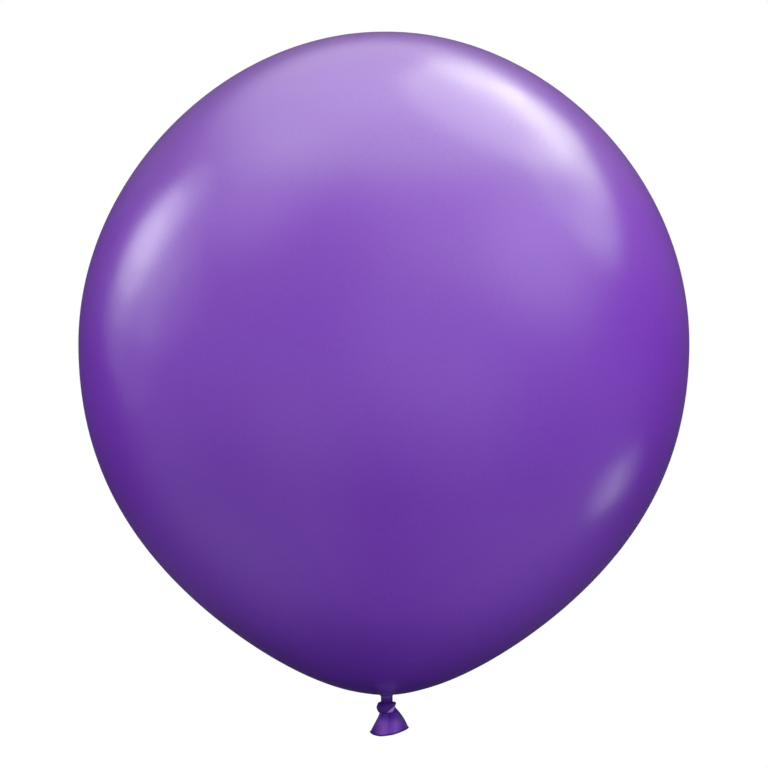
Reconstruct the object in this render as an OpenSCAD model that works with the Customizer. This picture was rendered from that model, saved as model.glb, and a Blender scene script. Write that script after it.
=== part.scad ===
// A round latex party balloon, blown up and tied, 16 inches across.
// Millimetres. The origin is the middle of the neck, where a ribbon is tied, and +Z goes up
// through the crown. The real balloon is one dipped skin of latex. Its zones are separate
// pieces here: the stretched envelope with its thick crown spot, the neck, the knot and the
// tail with its rolled lip. The neck bends about a ball in two sockets, and the tail hangs
// from a round root under the knot.

/* [Envelope] */
// Width at the widest level
body_w = 406.4; // [380:0.2:440]
// Height of the dome, from the widest level up to the crown
dome_h = 207.7; // [190:0.1:230]
// Height of the lower part, from the neck up to the widest level
cone_h = 233.6; // [215:0.1:260]
// Share of its width that the dome has lost at the crown, against an ellipse
dome_taper = 0.045; // [0:0.005:0.1]
// How late the dome loses it
dome_power = 2; // [1:0.1:4]
// Share of its width that the lower part has lost at the neck, against an ellipse
cone_taper = 0.27; // [0.1:0.01:0.4]
// How late the lower part loses it
cone_power = 3.4; // [2:0.1:5]
// Thickness of the solid that stands in for the stretched film
film_t = 0.5; // [0.45:0.05:1]

/* [Crown spot] */
// Thickness of the thick spot inside the crown, in its middle
spot_t = 0.8; // [0.5:0.1:1.5]

/* [Neck] */
// Diameter of the gathered neck
neck_d = 7.6; // [7.4:0.1:8.6]
// Length of the neck, from the envelope down to the knot
neck_len = 4.7; // [4.4:0.1:5.4]
// Height of the open waist that a ribbon is tied round
waist_h = 3.8; // [3.5:0.1:4.2]
// Diameter of the ball that the neck bends about
ball_d = 6.4; // [6.2:0.1:6.6]
// How far the neck's upper end reaches into the envelope
collar_depth = 3.6; // [3:0.1:6]

/* [Knot] */
// Height of the knot
knot_h = 7.1; // [6.8:0.1:7.6]
// Width of the knot across its outer wrap
knot_w = 12.8; // [12.4:0.1:13.2]
// Thickness of the strand that is wrapped round the knot
wrap_d = 4.4; // [4:0.1:4.6]
// Slant of the wrap
wrap_tilt = 8; // [0:1:10]
// Diameter of the knot's core, inside the wrap
core_d = 6.4; // [6:0.1:6.8]

/* [Tail] */
// Height of the tail, from the knot down to the bottom of the lip
tail_h = 15.95; // [14:0.05:18]
// Width of the tail at its mouth
tail_w = 25.8; // [22:0.1:28]
// Width of the tail just under the knot
root_w = 10.4; // [9:0.1:11]
// Thickness of the tail at the root that it swings about
root_d = 3.4; // [3:0.1:3.6]
// Opening of the mouth from front to back
mouth_t = 9; // [6:0.1:12]
// Wall thickness of the tail
tail_wall = 0.6; // [0.5:0.05:0.8]
// Diameter of the rolled lip
lip_d = 1.2; // [1:0.1:1.6]
// How far the tail leans sideways
tail_lean = 6; // [0:1:10]

/* [Fit] */
// Gap between pieces that move against each other
gap = 0.3; // [0.25:0.01:0.35]

/* [Hidden] */
// Height of the widest level
belly_z = neck_len / 2 + cone_h;
// Steps along the envelope's outline, and across the crown spot, which spans the top one
outline_steps = 60;
spot_steps = 6;
// Facets round the exact solids
$fn = 96;
// The neck's parts
neck_r = neck_d / 2;
socket_r = ball_d / 2 + gap;
waist_z = waist_h / 2;
// The knot's parts: its levels, and the depth to which its core hangs over the tail's root
knot_top = -neck_len / 2;
wrap_z = knot_top - 3.05;
core_neck_z = knot_top - 1;
saddle_rise = 1.5;
// The tail's root axis, its mouth, and the facets that it is made of
root_z = knot_top - knot_h - 0.85;
saddle_r = root_d / 2 + gap;
core_foot = root_z + saddle_rise;
lip_drop = sqrt(pow(lip_d / 2, 2) - pow(tail_wall / 2, 2));
mouth_z = knot_top - knot_h - tail_h + lip_drop + lip_d / 2;
tail_sides = 40;
root_steps = 5;
skirt_steps = 7;
pocket_start = 0.3;
lip_steps = 9;

// A point of the envelope's outline, inset mm inside its skin, at an angle up from the widest level
function outline(angle, inset) =
    let (
        up = angle > 0,
        s = abs(sin(angle)),
        taper = up ? dome_taper : cone_taper,
        power = up ? dome_power : cone_power,
        rise = up ? dome_h - inset : inset - cone_h
    )
    [(body_w / 2 - inset) * cos(angle) * (1 - taper * pow(s, power)), belly_z + rise * s];

// The angle at which the outline is as wide as the neck
function neck_angle(inset) = acos(neck_r / ((body_w / 2 - inset) * (1 - cone_taper)));

// The outline from one angle to another
function outline_run(from, to, inset, steps) =
    [for (i = [0:steps]) outline(from + (to - from) * i / steps, inset)];

// One level of the tail: an oval of half width w and half thickness t
function oval(x, z, w, t) =
    [for (i = [0:tail_sides - 1]) let (a = 360 * i / tail_sides) [x + w * cos(a), t * sin(a), z]];

// The tail at a share u of the way from its root to its mouth, inset mm inside its skin
function tail_level(u, inset) =
    let (z = root_z + (mouth_z - root_z) * u)
    oval(
        (root_z - z) * tan(tail_lean),
        z,
        root_w / 2 + (tail_w - root_w) / 2 * pow(u, 0.9) - inset,
        root_d / 2 + (mouth_t - root_d) / 2 * pow(u, 1.3) - inset
    );

// The tail's rounded root, at an angle above its axis
function root_level(angle) =
    oval(
        0,
        root_z + root_d / 2 * sin(angle),
        root_w / 2 - root_d / 2 * (1 - cos(angle)),
        root_d / 2 * cos(angle)
    );

// A solid through a list of rings, capped at both ends, or closed on itself if looped
module ring_solid(rings, looped) {
    sides = len(rings[0]);
    count = len(rings);
    spans = looped ? count : count - 1;
    sheets = [
        for (k = [0:spans - 1], i = [0:sides - 1])
        let (
            a = k * sides + i,
            b = k * sides + (i + 1) % sides,
            c = (k + 1) % count * sides + (i + 1) % sides,
            d = (k + 1) % count * sides + i
        )
        each [[a, b, c], [a, c, d]]
    ];
    first_cap = [for (i = [0:sides - 1]) sides - 1 - i];
    last_cap = [for (i = [0:sides - 1]) (count - 1) * sides + i];
    caps = looped ? [] : [first_cap, last_cap];
    polyhedron(points = [for (ring = rings) each ring], faces = concat(sheets, caps));
}

// The ball's room in the neck
module neck_socket() {
    sphere(r = socket_r);
}

// The inside of the film, from the crown down to the neck
inner_run = outline_run(90, -neck_angle(film_t), film_t, outline_steps);

// The stretched film, open only at the neck
module envelope() {
    color("mediumpurple")
    rotate_extrude()
    polygon(concat(outline_run(-neck_angle(0), 90, 0, outline_steps), inner_run));
}

// The thick spot inside the crown, where the film has hardly stretched
module crown_spot() {
    crown = outline(90, film_t);
    rim = inner_run[1];
    color("rebeccapurple")
    rotate_extrude()
    polygon([
        crown,
        for (i = [0:spot_steps])
        let (out = i / spot_steps)
        crown + (rim - crown) * out - [0, spot_t * (1 - out * out)]
    ]);
}

// The upper end of the neck, with a socket for the ball
module neck_collar() {
    color("rebeccapurple")
    difference() {
        translate([0, 0, waist_z])
        cylinder(r = neck_r, h = neck_len / 2 + collar_depth - waist_z);
        neck_socket();
    }
}

// The ball that the neck bends about
module neck_core() {
    color("indigo")
    sphere(d = ball_d);
}

// The outside of the knot's core: a wide rim for its socket, then the core itself
module core_body() {
    rotate_extrude()
    polygon([
        [0, -waist_z], [neck_r, -waist_z], [neck_r, knot_top],
        [core_d / 2, core_neck_z], [core_d / 2, core_foot], [0, core_foot],
    ]);
}

// The knot's core, with a socket for the ball and a saddle for the tail's root
module knot_core() {
    color("indigo")
    difference() {
        core_body();
        neck_socket();
        translate([0, 0, root_z])
        rotate([0, 90, 0])
        cylinder(r = saddle_r, h = 2 * knot_w, center = true);
    }
}

// The strand that is wrapped round the knot
module knot_wrap() {
    color("rebeccapurple")
    difference() {
        translate([0, 0, wrap_z])
        rotate([0, wrap_tilt, 0])
        rotate_extrude()
        translate([(knot_w - wrap_d) / 2, 0])
        circle(d = wrap_d);
        core_body();
    }
}

// The flared tail, a flattened tube that is open at its mouth
module tail_skirt() {
    color("rebeccapurple")
    ring_solid(concat(
        [for (i = [root_steps:-1:1]) root_level(85 * i / root_steps)],
        [for (i = [0:skirt_steps]) tail_level(i / skirt_steps, 0)],
        [for (i = [skirt_steps:-1:0])
            tail_level(pocket_start + (1 - pocket_start) * i / skirt_steps, tail_wall)]
    ), false);
}

// The rolled lip, a bead round the mouth whose flat top meets the tail's wall
module rolled_lip() {
    flat = asin(tail_wall / lip_d);
    lean_x = (root_z - mouth_z) * tan(tail_lean);
    color("indigo")
    ring_solid([
        for (i = [0:lip_steps])
        let (
            a = flat + (360 - 2 * flat) * i / lip_steps,
            out = lip_d / 2 * sin(a) - tail_wall / 2,
            up = lip_d / 2 * cos(a) - lip_drop
        )
        oval(lean_x, mouth_z + up, tail_w / 2 + out, mouth_t / 2 + out)
    ], true);
}

envelope();
crown_spot();
neck_collar();
neck_core();
knot_wrap();
knot_core();
tail_skirt();
rolled_lip();
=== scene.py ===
import math

import bpy
import numpy as np
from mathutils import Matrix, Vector

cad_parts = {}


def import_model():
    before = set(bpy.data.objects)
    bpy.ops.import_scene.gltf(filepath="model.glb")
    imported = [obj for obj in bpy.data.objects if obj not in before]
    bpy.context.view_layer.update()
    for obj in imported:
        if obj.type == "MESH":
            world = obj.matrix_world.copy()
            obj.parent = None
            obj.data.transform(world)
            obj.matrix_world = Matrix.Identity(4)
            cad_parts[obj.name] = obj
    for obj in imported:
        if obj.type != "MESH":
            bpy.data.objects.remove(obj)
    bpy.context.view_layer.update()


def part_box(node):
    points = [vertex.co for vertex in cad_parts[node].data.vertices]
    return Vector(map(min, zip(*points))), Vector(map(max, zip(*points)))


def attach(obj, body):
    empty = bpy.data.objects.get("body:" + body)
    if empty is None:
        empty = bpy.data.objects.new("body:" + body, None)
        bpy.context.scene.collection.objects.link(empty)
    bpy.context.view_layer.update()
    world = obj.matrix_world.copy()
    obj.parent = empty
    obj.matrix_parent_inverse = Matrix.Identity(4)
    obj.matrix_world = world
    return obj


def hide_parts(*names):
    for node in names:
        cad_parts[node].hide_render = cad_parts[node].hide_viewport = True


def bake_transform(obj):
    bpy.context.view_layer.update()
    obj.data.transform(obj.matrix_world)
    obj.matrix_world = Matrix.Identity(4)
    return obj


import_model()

# The looks of a tied latex balloon. Its sizes are in millimetres until new_piece turns them into
# metres, and the studio's are in metres, except where a comment says otherwise.
MM = 0.001
REST_PLACE = "rest_place"


# ---------------------------------------------------------------- shape helpers

def smooth(x, low=0.0, high=1.0):
    """0 below low, 1 above high, and an easy S between them."""
    t = np.clip((x - low) / (high - low), 0.0, 1.0)
    return t * t * (3.0 - 2.0 * t)


def bezier(points, t):
    """Points along a cubic curve, for an array t from 0 to 1."""
    a, b, c, d = (np.array(p, float) for p in points)
    t = np.asarray(t, float)[..., None]
    s = 1.0 - t
    return a * s**3 + 3 * b * s * s * t + 3 * c * s * t * t + d * t**3


def spline(points, count):
    """A smooth run of count points through the given ones (Catmull-Rom)."""
    p = np.array(points, float)
    p = np.vstack([2 * p[0] - p[1], p, 2 * p[-1] - p[-2]])
    spans = len(p) - 3
    u = np.linspace(0, spans, count)
    k = np.minimum(u.astype(int), spans - 1)
    t = (u - k)[:, None]
    a, b, c, d = p[k], p[k + 1], p[k + 2], p[k + 3]
    return 0.5 * (2 * b + (c - a) * t + (2 * a - 5 * b + 4 * c - d) * t**2 + (3 * b - a - 3 * c + d) * t**3)


def angles(sides):
    return np.linspace(0, 2 * math.pi, sides, endpoint=False)


def new_piece(name, verts, faces, material, sharp=()):
    """A smooth-shaded mesh object. Its points are given in millimetres, in the CAD's frame."""
    mesh = bpy.data.meshes.new(name)
    mesh.from_pydata((np.asarray(verts) * MM).tolist(), [], faces)
    mesh.validate()
    mesh.shade_smooth()
    # the materials read each point's place at rest, so their colours stay put when the piece bends
    places = np.empty(3 * len(mesh.vertices), np.float32)
    mesh.vertices.foreach_get("co", places)
    mesh.attributes.new(REST_PLACE, "FLOAT_VECTOR", "POINT").data.foreach_set("vector", places)
    if len(sharp):
        marked = {tuple(sorted(e)) for e in sharp}
        for edge in mesh.edges:
            edge.use_edge_sharp = tuple(sorted(edge.vertices)) in marked
    piece = bpy.data.objects.new(name, mesh)
    bpy.context.scene.collection.objects.link(piece)
    mesh.materials.append(material)
    return piece


def ring_piece(name, rings, material, looped=False, hard_caps=True):
    """A closed skin through rings of points, capped at both ends unless the rings form a loop."""
    rings = np.asarray(rings, float)
    count, sides = rings.shape[:2]
    verts = rings.reshape(-1, 3)
    faces = []
    for k in range(count if looped else count - 1):
        n = (k + 1) % count
        for i in range(sides):
            j = (i + 1) % sides
            faces.append((k * sides + i, k * sides + j, n * sides + j, n * sides + i))
    sharp = []
    if not looped:
        centres = [rings[0].mean(0), rings[-1].mean(0)]
        verts = np.vstack([verts, centres])
        for c, base, flip in ((len(verts) - 2, 0, True), (len(verts) - 1, (count - 1) * sides, False)):
            for i in range(sides):
                a, b = base + i, base + (i + 1) % sides
                faces.append((b, a, c) if flip else (a, b, c))
                if hard_caps:
                    sharp.append((a, b))
    return new_piece(name, verts, faces, material, sharp)


# ---------------------------------------------------------------- materials

def nodes_of(material):
    material.use_nodes = True
    tree = material.node_tree
    return tree, tree.nodes["Principled BSDF"]


# how many times each pattern repeats in a metre
DRIFT_SCALE = 9.0
GLOSS_SCALE = 60.0
PIGMENT_SCALE = 420.0
GRAIN_SCALE = 1400.0
LATEX_IOR = 1.52
COAT_ROUGHNESS = 0.22
BLOOM_ROUGHNESS = 0.3
BUMP_DEPTH = 0.1
# heights over which the neck's thick rubber gives way to thin film, and to its full gloss
NECK_FADE = 0.8, 17.0
GLOSS_FADE = 1.0, 16.0
# distances from the tail's middle over which painted shade darkens its two sides, and how much
TAIL_MIDDLE = 1.2
TAIL_SHADE_FADE = 4.8, 10.0
TAIL_EDGE_SHADE_SHARE = 0.9


def latex(
    name, low_z, high_z, stops, rough,
    coat=0.0, shine=0.5, bloom=0.0, grain=1.0, neck_colour=None, painted_edge_shade=None,
):
    """Dyed latex. Its colour goes through stops from low_z to high_z (mm), which follow the rubber's
    thinning and, in some of the materials, hold painted light and shade as well.

    coat is the gloss on top, shine the rubber's own gloss, bloom the powdery sheen seen at a slant,
    and grain the strength of the speckles and the bump.
    """
    material = bpy.data.materials.new(name)
    tree, shader = nodes_of(material)
    add, link = tree.nodes.new, tree.links.new
    place = add("ShaderNodeAttribute")
    place.attribute_name = REST_PLACE

    def noise(scale, detail, roughness=0.5):
        n = add("ShaderNodeTexNoise")
        n.inputs["Scale"].default_value = scale
        n.inputs["Detail"].default_value = detail
        n.inputs["Roughness"].default_value = roughness
        link(place.outputs["Vector"], n.inputs["Vector"])
        return n.outputs["Fac"]

    def remap(value, from_low, from_high, to_low, to_high):
        m = add("ShaderNodeMapRange")
        limits = {"From Min": from_low, "From Max": from_high, "To Min": to_low, "To Max": to_high}
        for key, number in limits.items():
            m.inputs[key].default_value = number
        link(value, m.inputs["Value"])
        return m.outputs["Result"]

    def math_node(kind, *values):
        m = add("ShaderNodeMath")
        m.operation = kind
        for socket, value in zip(m.inputs, values):
            if isinstance(value, float):
                socket.default_value = value
            else:
                link(value, socket)
        return m.outputs[0]

    def darker_mix(thin, factor, dark_colour):
        mixed = add("ShaderNodeMix")
        mixed.data_type = "RGBA"
        link(factor, mixed.inputs["Factor"])
        link(thin, mixed.inputs["A"])
        mixed.inputs["B"].default_value = (*dark_colour, 1.0)
        return mixed.outputs["Result"]

    split = add("ShaderNodeSeparateXYZ")
    link(place.outputs["Vector"], split.inputs["Vector"])
    height = remap(split.outputs["Z"], low_z * MM, high_z * MM, 0.0, 1.0)
    drift = remap(noise(DRIFT_SCALE, 3.0), 0.3, 0.7, -0.02, 0.02)
    level = math_node("ADD", height, drift)
    ramp = add("ShaderNodeValToRGB")
    ramp.color_ramp.interpolation = "EASE"
    while len(ramp.color_ramp.elements) < len(stops):
        ramp.color_ramp.elements.new(0.5)
    for element, (at, colour) in zip(ramp.color_ramp.elements, stops):
        element.position = at
        element.color = (*colour, 1.0)
    link(level, ramp.inputs["Fac"])
    colour = ramp.outputs["Color"]
    if neck_colour:
        thick, thin = NECK_FADE
        colour = darker_mix(colour, remap(split.outputs["Z"], thin * MM, thick * MM, 0.0, 1.0), neck_colour)
        # the hardly stretched rubber of the neck is duller than the taut film
        dull, glossy = GLOSS_FADE
        link(remap(split.outputs["Z"], dull * MM, glossy * MM, 0.0, coat), shader.inputs["Coat Weight"])
    else:
        shader.inputs["Coat Weight"].default_value = coat
    # painted shade: the tail's sides darken away from its middle toward its edges
    if painted_edge_shade:
        inner, outer = TAIL_SHADE_FADE
        aside = math_node("ABSOLUTE", math_node("SUBTRACT", split.outputs["X"], TAIL_MIDDLE * MM))
        colour = darker_mix(colour, remap(aside, inner * MM, outer * MM, 0.0, TAIL_EDGE_SHADE_SHARE), painted_edge_shade)
    # pigment that the rubber carries unevenly
    tint = add("ShaderNodeHueSaturation")
    speckle = 0.05 * grain
    pigment = remap(noise(PIGMENT_SCALE, 4.0, 0.6), 0.25, 0.75, 1 - speckle, 1 + speckle)
    link(pigment, tint.inputs["Value"])
    link(colour, tint.inputs["Color"])
    link(tint.outputs["Color"], shader.inputs["Base Color"])
    gloss = remap(noise(GLOSS_SCALE, 5.0, 0.6), 0.25, 0.75, rough - 0.03, rough + 0.03)
    link(gloss, shader.inputs["Roughness"])
    bump = add("ShaderNodeBump")
    bump.inputs["Strength"].default_value = 0.06 * grain
    bump.inputs["Distance"].default_value = BUMP_DEPTH * MM
    link(noise(GRAIN_SCALE, 4.0, 0.6), bump.inputs["Height"])
    link(bump.outputs["Normal"], shader.inputs["Normal"])
    shader.inputs["IOR"].default_value = LATEX_IOR
    shader.inputs["Specular IOR Level"].default_value = shine
    shader.inputs["Sheen Weight"].default_value = bloom
    shader.inputs["Sheen Roughness"].default_value = BLOOM_ROUGHNESS
    shader.inputs["Coat Roughness"].default_value = COAT_ROUGHNESS
    return material


NECK_COLOUR = (0.085, 0.016, 0.32)
# The film's colours by height were tuned against the photo, partly by the same fit as the lamps. They hold
# the film's real thinning and painted light together: the greyer, lighter top is a painted sheen of the
# light falling from above.
FILM = latex(
    "latex_stretched", 0.0, 444.0,
    [(0.0, (0.155, 0.032, 0.54)), (0.17, (0.272, 0.079, 0.735)), (0.34, (0.223, 0.047, 0.63)),
     (0.5, (0.236, 0.051, 0.63)), (0.67, (0.240, 0.068, 0.57)), (0.83, (0.253, 0.101, 0.515)),
     (1.0, (0.273, 0.135, 0.49))],
    rough=0.24, coat=0.35, bloom=0.06, neck_colour=NECK_COLOUR,
)
THICK = latex(
    "latex_thick", -10.0, 3.0,
    [(0.0, (0.07, 0.014, 0.26)), (0.6, (0.065, 0.013, 0.25)), (1.0, NECK_COLOUR)],
    rough=0.34, shine=0.15, grain=1.4,
)
# The crossing strand's light lavender, lightest toward its upper end, is a painted highlight over its dark
# rubber.
FOLD_PAINTED_HIGHLIGHT = latex(
    "latex_fold_painted_highlight", -10.0, -5.0,
    [(0.0, (0.14, 0.03, 0.42)), (0.35, (0.42, 0.21, 0.72)), (1.0, (0.58, 0.36, 0.86))],
    rough=0.26, shine=0.3, grain=1.4,
)
# The tail's colours are partly real and partly painted light. Darker toward the knot is partly the gathered
# rubber and partly painted shade under the knot and the balloon. Lighter toward the mouth is partly the
# single thin film and partly painted light shining through it. Its edge colour is painted shade down its
# two sides.
TAIL = latex(
    "latex_tail", -25.5, -7.0,
    [(0.0, (0.26, 0.082, 0.62)), (0.45, (0.25, 0.07, 0.60)),
     (0.75, (0.085, 0.013, 0.37)), (1.0, (0.065, 0.009, 0.30))],
    rough=0.30, shine=0.2, grain=1.4, painted_edge_shade=(0.045, 0.007, 0.22),
)
LIP = latex(
    "latex_lip", -26.0, -19.0,
    [(0.0, (0.075, 0.016, 0.28)), (1.0, (0.06, 0.013, 0.24))],
    rough=0.32, shine=0.25, grain=1.4,
)


# ---------------------------------------------------------------- the frame's own sizes, in mm

def box_mm(node):
    low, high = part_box(node)
    return np.array(low) / MM, np.array(high) / MM


BODY_LOW, BODY_HIGH = box_mm("envelope")
HALF_WIDTH = (BODY_HIGH[0] - BODY_LOW[0]) / 2
CROWN_Z = BODY_HIGH[2]
ROOT_Z = BODY_LOW[2]
NECK_R = box_mm("neck_collar")[1][0]
# the part of the envelope's height that lies above its widest level
DOME_SHARE = 0.4707
BELLY_Z = CROWN_Z - (CROWN_Z - ROOT_Z) * DOME_SHARE
# how much narrower than an ellipse the dome and the lower part end, and how late that comes
DOME_TAPER, DOME_POWER = 0.045, 2.0
CONE_TAPER, CONE_POWER = 0.27, 3.4


# ---------------------------------------------------------------- the envelope and the neck

NECK_SIDES = 256
PLEATS = 17
PLEAT_DEPTH = 0.13
PLEAT_REACH = 14.0
FILLET = 1.5
FILLET_STEPS = 8
FILM_LEVELS = 170
POLE_ANGLE = 89.6
# the envelope stands a little to one side of its neck, over the first heights above it
NECK_OFFSET = 1.9
OFFSET_FADE = 0.5, 6.0
# and its top leans back the other way
CROWN_LEAN = 1.0
CROWN_DEPTH = 40.0
# the knot's weight pulls the film round the neck down
NECK_DIP = 0.35
DIP_WIDTH = 16.0
# the gathered neck below the bend
NECK_FOOT = 3.6
NECK_STRAIGHT = 1.4
NECK_FLARE = 0.5
NECK_LEVELS = 13


def outline(angle):
    """(radius, height) of the blown-up film at an angle up from its widest level, in degrees."""
    a = np.radians(angle)
    s = np.abs(np.sin(a))
    up = angle > 0
    taper = np.where(up, DOME_TAPER * s**DOME_POWER, CONE_TAPER * s**CONE_POWER)
    rise = np.where(up, CROWN_Z - BELLY_Z, BELLY_Z - ROOT_Z)
    return HALF_WIDTH * np.cos(a) * (1 - taper), BELLY_Z + np.sign(a) * rise * s


def neck_ring(radius, z, depth):
    """A ring of the skin, with gathered pleats of that depth."""
    a = angles(NECK_SIDES)
    uneven = 1 + 0.35 * np.sin(3 * a + 0.7) + 0.25 * np.sin(5 * a + 2.1)
    r = radius + depth * uneven * np.sin(PLEATS * a + 0.6 * np.sin(2 * a))
    aside = CROWN_LEAN * smooth(z, BELLY_Z, CROWN_Z - CROWN_DEPTH) - NECK_OFFSET * smooth(z, *OFFSET_FADE)
    return np.stack([r * np.cos(a) + aside, r * np.sin(a), np.full_like(a, z)], -1)


def film_rings():
    """Rings from just under the crown's pole down to the middle of the neck."""
    stop = math.degrees(math.acos((NECK_R + FILLET) / (HALF_WIDTH * (1 - CONE_TAPER))))
    radius, z = outline(np.linspace(POLE_ANGLE, -stop, FILM_LEVELS))
    z = z - NECK_DIP * np.exp(-((radius / DIP_WIDTH) ** 2))
    profile = list(zip(radius, z))
    for turn in np.linspace(0, math.pi / 2, FILLET_STEPS + 1)[1:]:
        profile.append((NECK_R + FILLET * (1 - math.sin(turn)), z[-1] - FILLET * (1 - math.cos(turn))))
    fillet_z = profile[-1][1]
    profile += [(NECK_R, fillet_z * share) for share in (0.75, 0.5, 0.25, 0.0)]
    rings = []
    for r, level in profile:
        depth = PLEAT_DEPTH * (1 - smooth(r, NECK_R, NECK_R + PLEAT_REACH)) ** 2
        rings.append(neck_ring(r, level, depth))
    return np.array(rings)


def envelope_skin():
    """The blown-up film, from the crown down to the bend in the neck."""
    return ring_piece("envelope_skin", film_rings()[::-1], FILM, hard_caps=False)


skin = envelope_skin()
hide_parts("envelope", "crown_spot", "neck_collar")
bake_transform(skin)


def neck_skin():
    """The rest of the gathered neck, which widens as it runs into the knot."""
    rings = []
    for z in np.linspace(0, -NECK_FOOT, NECK_LEVELS):
        flare = NECK_FLARE * smooth(-z, NECK_STRAIGHT, NECK_FOOT)
        rings.append(neck_ring(NECK_R + flare, z, PLEAT_DEPTH))
    return ring_piece("neck_skin", rings[::-1], THICK)


neck = neck_skin()
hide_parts("neck_core")
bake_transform(neck)


# ---------------------------------------------------------------- the knot

STRAND_SIDES = 32
STRAND_RINGS = 72
CREASES = 5
CREASE_DEPTH = 0.05
HEART_SIDES = 72
HEART_RINGS = 26
HEART_FLATNESS = 0.82


def strand(name, path, depths, heights, material):
    """A roll of rubber along a path, with a half depth and a half height at each of its points."""
    count = STRAND_RINGS
    line = spline(path, count)
    depth = spline(np.array(depths, float)[:, None], count)[:, 0]
    height = spline(np.array(heights, float)[:, None], count)[:, 0]
    along = np.gradient(line, axis=0)
    along /= np.linalg.norm(along, axis=1)[:, None]
    out = line * (1, 1, 0)
    side = out - (out * along).sum(1)[:, None] * along
    side /= np.linalg.norm(side, axis=1)[:, None]
    up = np.cross(along, side)
    a = angles(STRAND_SIDES)
    # both ends close in a short round nose
    rounding = np.sqrt(1 - np.linspace(-0.998, 0.998, count) ** 10)
    rings = []
    for k in range(count):
        fold = rounding[k] * (1 + CREASE_DEPTH * np.sin(CREASES * a + 2.5 * k / count))
        across = np.outer(depth[k] * fold * np.cos(a), side[k])
        upright = np.outer(height[k] * fold * np.sin(a), up[k])
        rings.append(line[k] + across + upright)
    return ring_piece(name, rings, material, hard_caps=False)


def knot_heart():
    """The gathered middle of the knot, between the neck and the tail."""
    # height and half width
    profile = [(-2.6, 4.0), (-3.4, 4.5), (-4.6, 4.7), (-6.0, 4.6), (-7.4, 4.3), (-8.6, 4.2), (-9.6, 4.0)]
    levels = spline(profile, HEART_RINGS)
    a = angles(HEART_SIDES)
    rings = []
    for z, r in levels:
        fold = 1 + 0.03 * np.sin(9 * a + 0.5 * z) + 0.02 * np.sin(14 * a - 0.3 * z)
        x = r * fold * np.cos(a) + 0.1
        y = HEART_FLATNESS * r * fold * np.sin(a)
        rings.append(np.stack([x, y, np.full_like(a, z)], -1))
    return ring_piece("knot_heart", rings[::-1], THICK)


heart = knot_heart()
collar = strand(
    "knot_wrap_strand",
    [(3.6, 3.0, -4.3), (5.0, 0.6, -3.7), (4.5, -1.8, -3.9), (2.6, -3.2, -4.7), (-0.2, -3.9, -5.9),
     (-3.2, -3.0, -6.4), (-4.7, -0.4, -6.2), (-3.8, 2.6, -5.7), (-0.6, 4.0, -5.2), (2.6, 3.7, -4.7)],
    [1.0, 1.2, 1.3, 1.4, 1.6, 1.9, 2.0, 1.9, 1.7, 1.2],
    [1.2, 1.3, 1.5, 2.2, 3.2, 3.4, 3.3, 3.0, 2.6, 1.6],
    THICK,
)
band = strand(
    "knot_crossing_strand",
    [(-1.2, -2.8, -8.8), (0.8, -3.9, -9.2), (2.4, -4.5, -8.5), (3.8, -3.9, -7.3), (4.7, -2.4, -6.2),
     (4.9, 0.4, -5.8), (4.0, 3.0, -6.2), (1.0, 4.3, -7.2), (-2.0, 3.8, -8.2)],
    [0.4, 0.7, 0.9, 1.0, 0.9, 0.9, 1.0, 1.0, 0.8],
    [0.4, 0.8, 1.15, 1.2, 1.0, 0.9, 1.1, 1.1, 0.8],
    FOLD_PAINTED_HIGHLIGHT,
)
for piece in (heart, collar, band):
    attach(piece, "knot")
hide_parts("knot_core")
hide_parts("knot_wrap")


# ---------------------------------------------------------------- the tail

TAIL_SIDES = 160
TAIL_LEVELS = 44
TAIL_WALL = 0.35
# (x, z) of the curves that its two edges follow, from the knot down to the mouth
LEFT_EDGE = [(-4.5, -8.8), (-5.2, -12.2), (-8.0, -16.4), (-10.9, -22.3)]
RIGHT_EDGE = [(5.0, -5.6), (8.2, -8.4), (12.2, -13.6), (14.4, -19.5)]


def tail_level(u, inset):
    """One folded oval level of the flattened tail, u from its root (0) to its mouth (1)."""
    a = angles(TAIL_SIDES)
    left, right = bezier(LEFT_EDGE, u), bezier(RIGHT_EDGE, u)
    across = (1 + np.cos(a)) / 2
    edge = left + (right - left) * across[:, None]
    front = np.clip(-np.sin(a), 0, 1)
    back = np.clip(np.sin(a), 0, 1)

    def swell(centre, width):
        """1 along a line down the tail, fading to 0 on both sides of it."""
        return np.exp(-(((edge[:, 0] - centre) / width) ** 2))

    # how far the wall stands out from the middle, and how far each fold adds to that
    half = 2.2 + 1.7 * u**1.2
    ridge = 1.7 * smooth(u, 0.05, 0.6) * swell(-2.8 - 0.8 * u, 1.4 + 0.7 * u)
    valley = 1.3 * smooth(u, 0.0, 0.25) * (1 - 0.8 * smooth(u, 0.4, 1.0)) * swell(0.9, 1.4)
    bulge = 1.8 * smooth(u, 0.1, 1.0) * swell(5.0, 3.2)
    behind = 1.0 * u * (swell(-5.0, 2.2) - 0.8 * swell(0.0, 2.0) + swell(6.0, 2.8))
    gathers = 0.16 * (1 - u) ** 1.5 * np.sin(23 * a + 3 * u)
    y = (half + gathers) * np.sin(a) - (ridge - valley + bulge) * front + behind * back
    # the mouth's front and back hang lower than its two corners
    sag = (3.3 - 2.0 * (across - 0.5)) * front**1.3 + 2.0 * back**2
    z = edge[:, 1] - sag * u * u
    ring = np.stack([edge[:, 0], y, z], -1)
    if inset:
        tangent = np.roll(ring, -1, 0) - np.roll(ring, 1, 0)
        inward = np.stack([-tangent[:, 1], tangent[:, 0], np.zeros(TAIL_SIDES)], -1)
        inward /= np.linalg.norm(inward, axis=1)[:, None]
        ring = ring + inset * inward
    return ring


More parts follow.
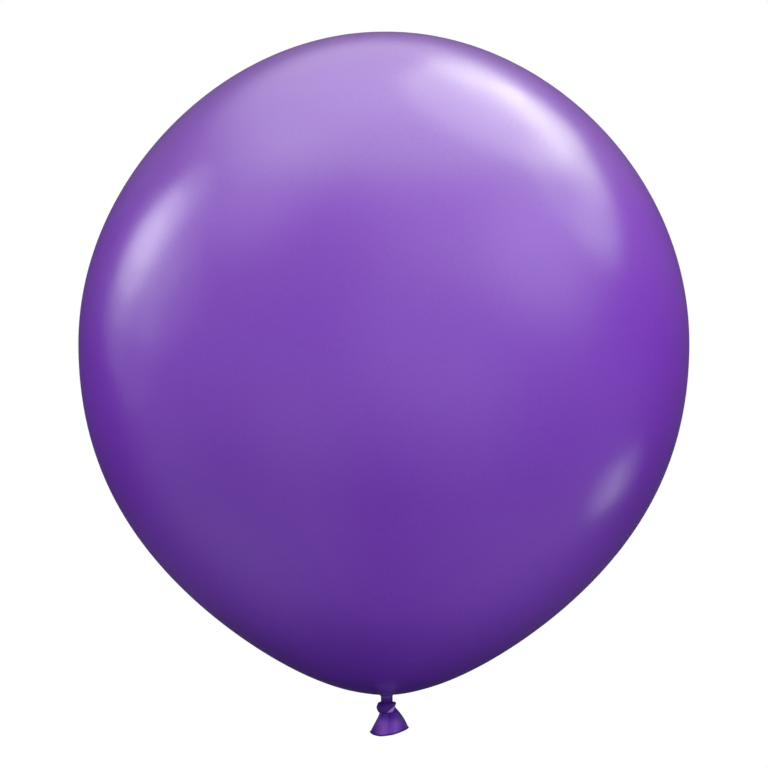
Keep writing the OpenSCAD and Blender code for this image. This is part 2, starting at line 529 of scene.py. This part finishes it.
def tail_skin():
    """The tail's wall: its outside down to the mouth, then its inside back up to a closed end."""
    outside = [tail_level(u, 0) for u in np.linspace(0, 1, TAIL_LEVELS)]
    inside = [tail_level(u, TAIL_WALL) for u in np.linspace(1, 0.12, TAIL_LEVELS)]
    return ring_piece("tail_skin", (outside + inside)[::-1], TAIL)


tail = tail_skin()
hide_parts("tail_skirt")
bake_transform(tail)


LIP_R = 0.55
LIP_SIDES = 16


def lip_bead():
    """The rolled bead round the mouth."""
    middle = (tail_level(1.0, 0) + tail_level(1.0, TAIL_WALL)) / 2
    along = np.roll(middle, -1, 0) - np.roll(middle, 1, 0)
    along /= np.linalg.norm(along, axis=1)[:, None]
    down = np.array([0, 0, -1.0])
    side = np.cross(along, down)
    side /= np.linalg.norm(side, axis=1)[:, None]
    up = np.cross(side, along)
    rings = []
    for turn in angles(LIP_SIDES):
        rings.append(middle + LIP_R * (math.cos(turn) * side + math.sin(turn) * up))
    return ring_piece("rolled_lip_bead", rings, LIP, looped=True)


lip = lip_bead()
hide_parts("rolled_lip")
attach(lip, "tail")


# ---------------------------------------------------------------- the studio

# in mm: the point that the camera faces, and the width of its view there
VIEW_X = -1.8
VIEW_Z = 209.2
FIELD = 511.8
# in metres
CAMERA_AWAY = 3.0
FLOOR_Z = -0.9
FLOOR_RADIUS = 4.0
FLOOR_SIDES = 96
WHITE = (1, 1, 1)


def camera():
    data = bpy.data.cameras.new("camera")
    data.sensor_width = 36.0
    data.lens = data.sensor_width * CAMERA_AWAY / (FIELD * MM)
    cam = bpy.data.objects.new("camera", data)
    cam.location = (VIEW_X * MM, -CAMERA_AWAY, VIEW_Z * MM)
    cam.rotation_euler = (math.pi / 2, 0, 0)
    bpy.context.scene.collection.objects.link(cam)
    bpy.context.scene.camera = cam


def direction(azimuth, elevation):
    """A unit vector. Azimuth 0 is the camera's side and 90 the right of the picture, in degrees."""
    a, e = math.radians(azimuth), math.radians(elevation)
    return math.sin(a) * math.cos(e), -math.cos(a) * math.cos(e), math.sin(e)


def soft_light(name, azimuth, elevation, away, size, power, colour=WHITE, mirrored=True):
    """A soft area light aimed at the balloon's middle. The film mirrors it unless told not to."""
    way = Vector(direction(azimuth, elevation))
    data = bpy.data.lights.new(name, "AREA")
    data.shape = "DISK"
    data.size = size
    data.energy = power
    data.color = colour
    light = bpy.data.objects.new(name, data)
    light.location = Vector((0, 0, BELLY_Z * MM)) + way * away
    light.rotation_euler = (-way).to_track_quat("-Z", "Y").to_euler()
    light.visible_camera = False
    light.visible_glossy = mirrored
    bpy.context.scene.collection.objects.link(light)


# The places of the lamps and the room's patches were chosen one by one. Their strengths, here and in
# ROOM, came from a least-squares fit to the photo, made by another program, and were then rounded
# and adjusted.
LAMPS = {
    # name: azimuth, elevation, metres away, diameter, watts
    "key_1": (150, 54, 1.74, 0.6, 1.15),
    "key_2": (133, 46, 1.74, 0.6, 1.35),
    "key_3": (123, 43, 1.74, 0.6, 1.02),
    "key_4": (113, 39, 1.74, 0.6, 0.89),
    "key_5": (96, 27, 1.74, 0.6, 0.71),
    "key_6": (135, 56, 1.74, 0.6, 0.50),
    "key_front": (106, 54, 1.74, 0.8, 0.35),
    "key_glow": (100, 38, 1.74, 1.0, 2.5),
    "key_wide_glow": (120, 62, 1.74, 1.3, 5.8),
    "kick_1": (-103, 35, 1.75, 0.6, 1.03),
    "kick_2": (-107, 27, 1.75, 0.6, 1.74),
    "kick_3": (-110, 20, 1.75, 0.6, 1.47),
    "kick_4": (-112, 13, 1.75, 0.6, 0.45),
    "kick_5": (-114, 6, 1.75, 0.6, 0.25),
    "kick_glow_1": (-94, 26, 1.75, 0.9, 1.03),
    "kick_glow_2": (-97, 14, 1.75, 0.9, 0.90),
    "kick_glow_3": (-103, 2, 1.75, 0.9, 0.52),
    "kick_wide_glow": (-86, 14, 1.75, 1.0, 1.12),
    "low_kick_1": (116, -24, 1.75, 0.4, 0.22),
    "low_kick_2": (111, -29, 1.75, 0.4, 0.39),
}
KEY_COLOUR = (0.98, 1.10, 0.80)
for lamp, settings in LAMPS.items():
    soft_light(lamp, *settings, colour=KEY_COLOUR if lamp.startswith("key") else WHITE)
soft_light("back_fill", 180, -12, 2.2, 1.8, 16, mirrored=False)


ROOM = [
    # azimuth, elevation, degrees to the end of full strength, degrees to where it fades out, radiance
    (0, 30, 40, 95, 0.467),
    (60, 60, 20, 60, 0.70),
    (180, 75, 30, 48, 0.96),
    (68, 25, 6, 35, 1.0),
    (-120, 70, 6, 32, 0.555),
    (-72, 50, 6, 32, 0.93),
    (20, 10, 15, 45, 0.36),
    (72, -30, 20, 60, 0.31),
    (-72, -30, 20, 60, 0.32),
    (0, -30, 20, 60, 0.152),
    (-90, 0, 10, 40, 0.09),
]


def world():
    """A white backdrop for the camera, and for everything else a room of soft pale patches."""
    room = bpy.data.worlds.new("studio")
    bpy.context.scene.world = room
    room.use_nodes = True
    tree = room.node_tree
    tree.nodes.clear()
    add, link = tree.nodes.new, tree.links.new
    place = add("ShaderNodeTexCoord")
    total = None
    for azimuth, elevation, full, end, radiance in ROOM:
        towards = add("ShaderNodeVectorMath")
        towards.operation = "DOT_PRODUCT"
        link(place.outputs["Generated"], towards.inputs[0])
        towards.inputs[1].default_value = direction(azimuth, elevation)
        away = add("ShaderNodeMath")
        away.operation = "ARCCOSINE"
        link(towards.outputs["Value"], away.inputs[0])
        patch = add("ShaderNodeMapRange")
        patch.interpolation_type = "SMOOTHSTEP"
        patch.inputs["From Min"].default_value = math.radians(end)
        patch.inputs["From Max"].default_value = math.radians(full)
        patch.inputs["To Max"].default_value = radiance
        link(away.outputs[0], patch.inputs["Value"])
        if total is None:
            total = patch.outputs["Result"]
        else:
            both = add("ShaderNodeMath")
            link(total, both.inputs[0])
            link(patch.outputs["Result"], both.inputs[1])
            total = both.outputs[0]
    glow = add("ShaderNodeBackground")
    link(total, glow.inputs["Strength"])
    backdrop = add("ShaderNodeBackground")
    path = add("ShaderNodeLightPath")
    mix = add("ShaderNodeMixShader")
    link(path.outputs["Is Camera Ray"], mix.inputs["Fac"])
    link(glow.outputs["Background"], mix.inputs[1])
    link(backdrop.outputs["Background"], mix.inputs[2])
    out = add("ShaderNodeOutputWorld")
    link(mix.outputs["Shader"], out.inputs["Surface"])
    for shade in (glow, backdrop):
        shade.inputs["Color"].default_value = (*WHITE, 1)


def floor():
    """A plain pale floor, well below the balloon, which hangs in the air."""
    rim = [(FLOOR_RADIUS * math.cos(a), FLOOR_RADIUS * math.sin(a), FLOOR_Z) for a in angles(FLOOR_SIDES)]
    mesh = bpy.data.meshes.new("floor")
    mesh.from_pydata(rim, [], [tuple(range(FLOOR_SIDES))])
    paint = bpy.data.materials.new("pale_floor")
    tree, shader = nodes_of(paint)
    grain = tree.nodes.new("ShaderNodeTexNoise")
    grain.inputs["Scale"].default_value = 3.0
    tone = tree.nodes.new("ShaderNodeValToRGB")
    tone.color_ramp.elements[0].color = (0.88, 0.88, 0.885, 1)
    tone.color_ramp.elements[1].color = (0.92, 0.92, 0.92, 1)
    tree.links.new(grain.outputs["Fac"], tone.inputs["Fac"])
    tree.links.new(tone.outputs["Color"], shader.inputs["Base Color"])
    shader.inputs["Roughness"].default_value = 0.9
    mesh.materials.append(paint)
    disc = bpy.data.objects.new("floor", mesh)
    disc.visible_diffuse = False
    disc.visible_glossy = False
    disc.visible_shadow = False
    bpy.context.scene.collection.objects.link(disc)


camera()
world()
floor()
bpy.context.scene.view_settings.view_transform = "Standard"
